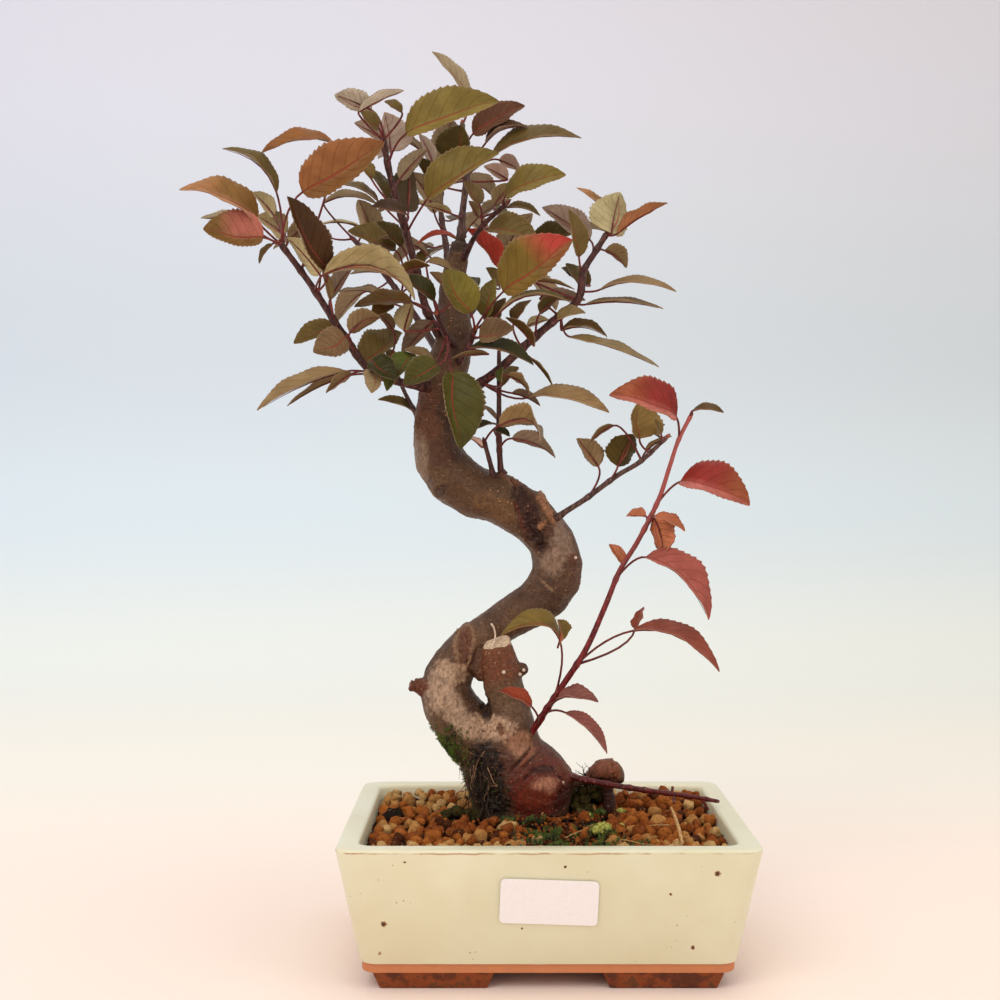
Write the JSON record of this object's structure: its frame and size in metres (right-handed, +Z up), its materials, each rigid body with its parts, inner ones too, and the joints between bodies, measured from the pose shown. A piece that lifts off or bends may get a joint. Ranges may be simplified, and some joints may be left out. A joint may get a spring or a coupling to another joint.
{
  "type": "apple bonsai",
  "caption": "Apple bonsai with an S-shaped trunk and toothed leaves, rooted in granular soil in a glazed rectangular footed pot; stands as a table ornament.",
  "frame": {"origin": "middle of the part's bounding box in plan, at the underside of the pot's feet", "axes": "+Z up along the tree, +X along the pot's long side towards the low red shoot, -Y towards the viewer of the tree's front, where the label is"},
  "size_m": [0.2514, 0.1882, 0.421],
  "materials": {
    "glaze": "gloss",
    "paper": "matte",
    "screen": "matte",
    "soil": "matte",
    "bark": "matte",
    "red_bark": "satin",
    "leaf": "satin"
  },
  "bodies": {
    "root": {"pot": "glaze", "label_blank": "paper", "drainage_screen_left": "screen", "drainage_screen_right": "screen", "soil": "soil", "trunk": "bark", "low_shoot": "red_bark", "branch_upper_left": "leaf", "branch_low_left": "leaf", "branch_apex": "leaf", "shoot_top_right": "leaf", "branch_right": "leaf", "shoot_inner": "leaf", "spur_inner": "leaf", "shoot_lower_right": "leaf", "shoot_long_red": "leaf", "spur_left": "leaf", "branch_back_left": "leaf", "branch_back_right": "leaf", "branch_back": "leaf", "spur_front_left": "leaf", "spur_front_right": "leaf"}
  },
  "joints": []
}
